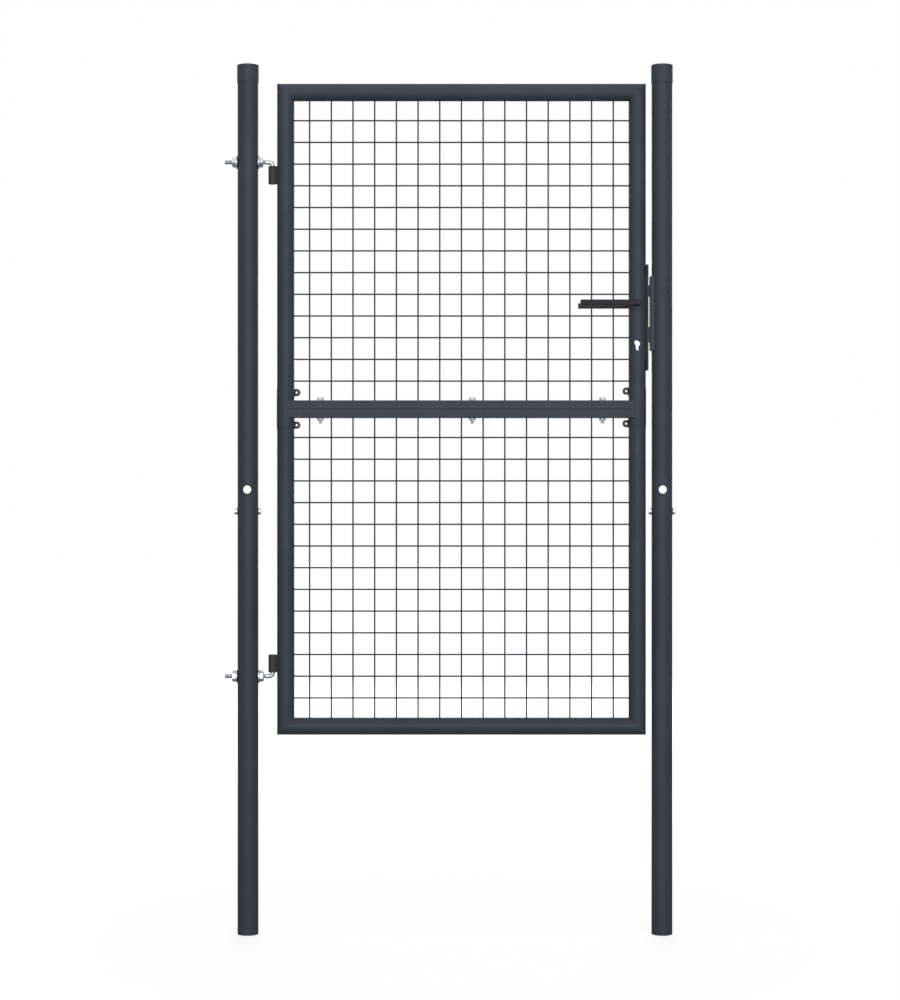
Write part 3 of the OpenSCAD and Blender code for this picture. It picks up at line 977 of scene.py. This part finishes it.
def middle_rail(z):
    """Rectangular tube with rounded corners, its ends cut to the round stiles."""
    corner_r = 1.2 * MM
    steps = 6

    def outline(inset):
        r = corner_r - inset
        centre_y, centre_z = mid_rail_deep / 2 - inset - r, mid_rail_h / 2 - inset - r
        points = []
        for quarter, (sy, sz) in enumerate(((1, 1), (-1, 1), (-1, -1), (1, -1))):
            for i in range(steps + 1):
                a = math.radians(90 * quarter + 90 * i / steps)
                points.append((sy * centre_y + r * math.cos(a), sz * centre_z + r * math.sin(a)))
        return points

    def end_x(y, side):
        reach = math.sqrt(tube_r**2 - y**2) + 0.05 * MM
        return stile_xs["hinge"] + reach if side == "hinge" else stile_xs["latch"] - reach

    rings = []
    for inset, side in (
        (0, "hinge"), (0, "latch"), (tube_wall, "latch"), (tube_wall, "hinge"),
    ):
        rings.append([Vector((end_x(y, side), y, z + dz)) for y, dz in outline(inset)])
    bm = bmesh.new()
    join_rings(bm, rings, lengthwise=True)
    return mesh_from("rail", bm)


def make_middle_rails():
    for node, side in (("upper_middle_rail", 1), ("lower_middle_rail", -1)):
        mesh = middle_rail(leaf_mid_z + side * mid_rail_h / 2)
        holes = [
            moved(drum(cross_hole_r, 100 * MM, sides=32), shift(x, 0, leaf_mid_z))
            for x in rail_bolt_xs()
        ]
        piece(f"{node}_tube", carved(mesh, holes), "leaf", anthracite, "anthracite_paint", node)


def make_barrels():
    """Hinge barrels, their bores and ends chamfered."""
    bore = pin_r + 0.05 * MM
    for end in ("top", "bottom"):
        node = f"{end}_barrel"
        z0, z1 = low(node).z, high(node).z
        bm = sleeve(half_width(node), bore, z0, z1, edge=0.6 * MM, sides=72)
        mesh = mesh_from(node, moved(bm, shift(hinge_x)))
        piece(f"{node}_sleeve", mesh, "leaf", barrel_coat, "black_metal", node)


def make_clamps():
    for side in stile_xs:
        node = f"{side}_stile_clamp"
        piece(f"{node}_sheet", cleaned(node), "leaf", anthracite, "anthracite_paint", node)


make_stiles()
make_rails()
make_middle_rails()
make_barrels()
make_clamps()


# ---- welded wire mesh -----------------------------------------------------------------------


def tree_with(name, sizes):
    """Geometry node tree with named number inputs and one geometry output."""
    tree = bpy.data.node_groups.new(name, "GeometryNodeTree")
    tree.interface.new_socket("Geometry", in_out="INPUT", socket_type="NodeSocketGeometry")
    for label, value in sizes.items():
        kind = "NodeSocketInt" if isinstance(value, int) else "NodeSocketFloat"
        socket = tree.interface.new_socket(label, in_out="INPUT", socket_type=kind)
        socket.default_value = value
    tree.interface.new_socket("Geometry", in_out="OUTPUT", socket_type="NodeSocketGeometry")
    return tree, tree.nodes.new("NodeGroupInput"), tree.nodes.new("NodeGroupOutput")


def grown(tree, sizes, start=None):
    """Runs a tree with the given sizes on a start mesh and returns the plain result."""
    obj = work_object(start or bpy.data.meshes.new("seed"))
    modifier = obj.modifiers.new("tree", "NODES")
    modifier.node_group = tree
    sockets = {s.name: s.identifier for s in tree.interface.items_tree if s.in_out == "INPUT"}
    for label, value in sizes.items():
        modifier[sockets[label]] = value
    return result_of(obj)


def wire_panel_tree():
    """Uprights and cross wires on an even pitch, set just off the centre plane and welded."""
    wire_sides = 14
    nugget_swell, nugget_scale = 1.12, (1.0, 0.62, 0.95)
    sizes = {
        "Pitch": mesh_pitch, "Uprights": upright_count, "Cross wires": cross_wire_count,
        "Left": 0.0, "Right": 1.0, "Bottom": 0.0, "Top": 1.0,
        "First upright": 0.0, "First cross wire": 0.0,
        "Upright radius": upright_wire_r, "Cross radius": cross_wire_r, "Sink": 0.5 * MM,
    }
    tree, given, result = tree_with("Welded wire panel", sizes)
    nodes, links = tree.nodes, tree.links

    def vector(**axes):
        node = nodes.new("ShaderNodeCombineXYZ")
        for axis, source in axes.items():
            if isinstance(source, (int, float)):
                node.inputs[axis].default_value = source
            else:
                links.new(source, node.inputs[axis])
        return node.outputs[0]

    def maths(kind, a, b):
        node = nodes.new("ShaderNodeMath")
        node.operation = kind
        for socket, source in zip(node.inputs, (a, b)):
            if isinstance(source, (int, float)):
                socket.default_value = source
            else:
                links.new(source, socket)
        return node.outputs[0]

    def row(count, start, step):
        node = nodes.new("GeometryNodeMeshLine")
        links.new(count, node.inputs["Count"])
        links.new(start, node.inputs["Start Location"])
        links.new(step, node.inputs["Offset"])
        return node.outputs["Mesh"]

    def bar(start, end, radius):
        line = nodes.new("GeometryNodeCurvePrimitiveLine")
        links.new(start, line.inputs["Start"])
        links.new(end, line.inputs["End"])
        circle = nodes.new("GeometryNodeCurvePrimitiveCircle")
        circle.inputs["Resolution"].default_value = wire_sides
        links.new(radius, circle.inputs["Radius"])
        skin = nodes.new("GeometryNodeCurveToMesh")
        skin.inputs["Fill Caps"].default_value = True
        links.new(line.outputs["Curve"], skin.inputs["Curve"])
        links.new(circle.outputs["Curve"], skin.inputs["Profile Curve"])
        return skin.outputs["Mesh"]

    def repeated(points, shape):
        node = nodes.new("GeometryNodeInstanceOnPoints")
        links.new(points, node.inputs["Points"])
        links.new(shape, node.inputs["Instance"])
        return node.outputs["Instances"]

    g = given.outputs
    behind = maths("SUBTRACT", g["Upright radius"], g["Sink"])
    before = maths("SUBTRACT", g["Sink"], g["Cross radius"])
    upright = bar(vector(Z=g["Bottom"]), vector(Z=g["Top"]), g["Upright radius"])
    first = vector(X=g["First upright"], Y=behind)
    uprights = repeated(row(g["Uprights"], first, vector(X=g["Pitch"])), upright)
    cross = bar(vector(X=g["Left"]), vector(X=g["Right"]), g["Cross radius"])
    first = vector(Y=before, Z=g["First cross wire"])
    crosses = repeated(row(g["Cross wires"], first, vector(Z=g["Pitch"])), cross)

    # a flattened nugget of weld at each crossing
    column = row(g["Cross wires"], vector(Z=g["First cross wire"]), vector(Z=g["Pitch"]))
    nugget = nodes.new("GeometryNodeMeshIcoSphere")
    nugget.inputs["Subdivisions"].default_value = 2
    links.new(maths("MULTIPLY", g["Upright radius"], nugget_swell), nugget.inputs["Radius"])
    squash = nodes.new("GeometryNodeTransform")
    squash.inputs["Scale"].default_value = nugget_scale
    links.new(nugget.outputs["Mesh"], squash.inputs["Geometry"])
    one_column = repeated(column, squash.outputs["Geometry"])
    across = row(g["Uprights"], vector(X=g["First upright"]), vector(X=g["Pitch"]))
    real = nodes.new("GeometryNodeRealizeInstances")
    links.new(one_column, real.inputs["Geometry"])
    nuggets = repeated(across, real.outputs["Geometry"])

    join = nodes.new("GeometryNodeJoinGeometry")
    for source in (uprights, crosses, nuggets):
        links.new(source, join.inputs["Geometry"])
    all_real = nodes.new("GeometryNodeRealizeInstances")
    links.new(join.outputs["Geometry"], all_real.inputs["Geometry"])
    coat = nodes.new("GeometryNodeSetMaterial")
    coat.inputs["Material"].default_value = anthracite
    links.new(all_real.outputs["Geometry"], coat.inputs["Geometry"])
    links.new(coat.outputs["Geometry"], result.inputs["Geometry"])
    return tree


def make_meshes():
    """Wire panels of both halves, their ends just inside the frame tubes."""
    into = 0.7 * MM
    sizes = {
        "Left": stile_xs["hinge"] + tube_r - into,
        "Right": stile_xs["latch"] - tube_r + into,
        "First upright": leaf_mid_x - (upright_count - 1) / 2 * mesh_pitch,
    }
    spans = {
        "upper_mesh": {
            "Bottom": leaf_mid_z + mid_rail_h,
            "Top": leaf_z1 - 2 * tube_r + into,
            "First cross wire": leaf_mid_z + mesh_start,
        },
        "lower_mesh": {
            "Bottom": leaf_z0 + 2 * tube_r - into,
            "Top": leaf_mid_z - mid_rail_h,
            "First cross wire": leaf_mid_z - mesh_start - (cross_wire_count - 1) * mesh_pitch,
        },
    }
    tree = wire_panel_tree()
    for node, span in spans.items():
        mesh = shaded(grown(tree, {**sizes, **span}), WIRE_SHARP)
        piece(f"{node}_wires", mesh, "leaf", anthracite, "anthracite_paint", node)


make_meshes()


# ---- weld beads -----------------------------------------------------------------------------


def bead_tree():
    """Overlapping ripples of weld laid along a path, each a little different."""
    sizes = {"Radius": 1.4 * MM, "Step": 1.5 * MM, "Seed": 3}
    tree, given, result = tree_with("Weld bead", sizes)
    nodes, links = tree.nodes, tree.links
    g = given.outputs
    curve = nodes.new("GeometryNodeMeshToCurve")
    links.new(g["Geometry"], curve.inputs["Mesh"])
    points = nodes.new("GeometryNodeCurveToPoints")
    points.mode = "LENGTH"
    links.new(curve.outputs["Curve"], points.inputs["Curve"])
    links.new(g["Step"], points.inputs["Length"])
    ball = nodes.new("GeometryNodeMeshIcoSphere")
    ball.inputs["Subdivisions"].default_value = 2
    links.new(g["Radius"], ball.inputs["Radius"])
    size = nodes.new("FunctionNodeRandomValue")
    size.data_type = "FLOAT_VECTOR"
    size.inputs[0].default_value = (0.8, 0.85, 0.8)
    size.inputs[1].default_value = (1.1, 1.15, 1.1)
    links.new(g["Seed"], size.inputs["Seed"])
    put = nodes.new("GeometryNodeInstanceOnPoints")
    links.new(points.outputs["Points"], put.inputs["Points"])
    links.new(points.outputs["Rotation"], put.inputs["Rotation"])
    links.new(ball.outputs["Mesh"], put.inputs["Instance"])
    links.new(size.outputs[0], put.inputs["Scale"])
    real = nodes.new("GeometryNodeRealizeInstances")
    links.new(put.outputs["Instances"], real.inputs["Geometry"])
    coat = nodes.new("GeometryNodeSetMaterial")
    coat.inputs["Material"].default_value = anthracite
    links.new(real.outputs["Geometry"], coat.inputs["Geometry"])
    links.new(coat.outputs["Geometry"], result.inputs["Geometry"])
    return tree


def path_mesh(paths):
    """Polylines as loose edges; a path is (points, closed)."""
    mesh = bpy.data.meshes.new("paths")
    verts, edges = [], []
    for points, closed in paths:
        start = len(verts)
        verts += points
        count = len(points)
        last = count if closed else count - 1
        edges += [(start + i, start + (i + 1) % count) for i in range(last)]
    mesh.from_pydata([tuple(p) for p in verts], edges, [])
    return mesh


def mitre_paths():
    """The joint line round each corner of the leaf, a little under the surface."""
    paths = []
    sunk, steps = 0.9 * MM, 72
    r = tube_r - sunk
    for side, x in stile_xs.items():
        out = -1 if side == "hinge" else 1
        for z, up in ((leaf_z1 - tube_r, 1), (leaf_z0 + tube_r, -1)):
            ring = [
                Vector((x + out * r * math.cos(a), r * math.sin(a), z + up * r * math.cos(a)))
                for a in angles(steps)
            ]
            paths.append((ring, True))
    return paths


def cope_paths():
    """Where the middle rails meet the stiles, along their top and bottom faces."""
    paths = []
    half_y = mid_rail_deep / 2 - 1 * MM
    steps = 24
    for side, x in stile_xs.items():
        inward = 1 if side == "hinge" else -1
        for z in (leaf_mid_z + mid_rail_h, leaf_mid_z - mid_rail_h):
            arc = []
            for i in range(steps + 1):
                y = half_y * (2 * i / steps - 1)
                arc.append(Vector((x + inward * math.sqrt(tube_r**2 - y**2), y, z)))
            paths.append((arc, False))
    return paths


def barrel_paths():
    """In front of and behind the line where each barrel touches the stile."""
    paths = []
    line_x = leaf_x0 - 0.1 * MM
    seam_y = 3.2 * MM
    margin = 2 * MM
    for end in ("top", "bottom"):
        ends = (low(f"{end}_barrel").z + margin, high(f"{end}_barrel").z - margin)
        for y in (-seam_y, seam_y):
            paths.append(([Vector((line_x, y, z)) for z in ends], False))
    return paths


def make_welds():
    tree = bead_tree()
    for name, paths, radius, step in (
        ("mitre_weld_beads", mitre_paths(), 1.3 * MM, 1.3 * MM),
        ("middle_rail_weld_beads", cope_paths(), 1.4 * MM, 1.5 * MM),
        ("barrel_weld_beads", barrel_paths(), 2.4 * MM, 2.0 * MM),
    ):
        mesh = grown(tree, {"Radius": radius, "Step": step}, path_mesh(paths))
        mesh.shade_smooth()
        piece(name, mesh, "leaf", anthracite, "anthracite_paint")


make_welds()


# ---- lock -----------------------------------------------------------------------------------


def rounded_bar(outline, depth, edge_r):
    """Plate along Y with rounded rims; outline(inset) gives its (x, z) points shrunk by inset."""
    steps = 5
    rings = []
    for end in (-1, 1):
        turns = range(steps + 1) if end < 0 else range(steps, -1, -1)
        for i in turns:
            a = math.radians(90 * i / steps)
            inset = edge_r * (1 - math.sin(a))
            y = end * (depth / 2 - edge_r * (1 - math.cos(a)))
            rings.append([Vector((x, y, z)) for x, z in outline(inset)])
    bm = bmesh.new()
    close_ends(bm, join_rings(bm, rings))
    return bm


def lever_outline(inset):
    """Lever seen from the front: half round at the spindle, softly rounded at the tip."""
    half = half_height("front_lever") - inset
    reach = low("front_lever").x - lever_x
    tip_r = 2.2 * MM - inset
    round_steps, tip_steps = 16, 5
    points = []
    for i in range(round_steps + 1):
        a = math.radians(90 - 180 * i / round_steps)
        points.append((half * math.cos(a), half * math.sin(a)))
    for sz, first in ((-1, -90), (1, 180)):
        cx, cz = reach + inset + tip_r, sz * (half - tip_r)
        for i in range(tip_steps + 1):
            a = math.radians(first - 90 * i / tip_steps)
            points.append((cx + tip_r * math.cos(a), cz + tip_r * math.sin(a)))
    return points


def make_levers():
    """Levers in front and behind, each a rounded bar on a round neck."""
    thickness = 2 * half_height("front_lever")
    neck_r = thickness / 2 - 0.03 * MM
    rim = 2 * MM
    # the rear lever's coat is the black lever coat lightened with painted light
    for node, side, finish in (("front_lever", -1, black), ("rear_lever", 1, rear_lever_painted_light)):
        outer = low(node).y if side < 0 else high(node).y
        inner = high(node).y if side < 0 else low(node).y
        bar_y = outer - side * thickness / 2
        bar = rounded_bar(lever_outline, thickness, rim)
        moved(bar, shift(lever_x, bar_y, lever_z))
        y0, y1 = sorted((bar_y, inner))
        neck = across_y(neck_r, lever_z, lever_x, y0, y1)
        mesh = carved(mesh_from(node, bar), [neck], "UNION")
        piece(f"{node}_handle", mesh, "handle", finish, "black_metal", node)


def make_lock_parts():
    """Spindle, case, forend, bolts and strike: the CAD shapes with their edges rounded."""
    for name, node, edge, steps, body, finish, slot in (
        ("square_spindle", "spindle", 0.5, 2, "handle", zinc, "zinc_plate"),
        ("lock_case_box", "lock_case", 0.3, 2, "leaf", black, "black_metal"),
        # the forend's coat is the anthracite paint darkened with painted shade
        ("forend_plate", "forend", 0.5, 3, "leaf", forend_painted_shade_coat, "anthracite_paint"),
        ("latch_bolt_nose", "latch_bolt", 0.5, 3, "latch_bolt", dark_steel, "bolt_steel"),
        ("deadbolt_bar", "deadbolt", 0.6, 3, "deadbolt", dark_steel, "bolt_steel"),
        ("strike_channel", "strike", 0.5, 3, "posts", anthracite, "anthracite_paint"),
    ):
        piece(name, eased(cleaned(node), edge * MM, steps), body, finish, slot, node)


def make_forend_screws():
    """Two screws that hold the lock in the stile."""
    sunk = 0.9 * MM
    from_end = 12 * MM
    head_r, head_h = 3.6 * MM, 0.8 * MM
    x = high("forend").x - sunk
    z0, z1 = low("forend").z + from_end, high("forend").z - from_end
    parts = [
        moved(cross_screw(head_r, head_h), turn(lean, "Z"), ALONG_X, shift(x, 0, z))
        for lean, z in ((20, z0), (40, z1))
    ]
    mesh = mesh_from("screws", gathered(parts), ROUND_SHARP)
    piece("forend_screws", mesh, "leaf", zinc, "zinc_plate")


make_levers()
make_lock_parts()
make_forend_screws()
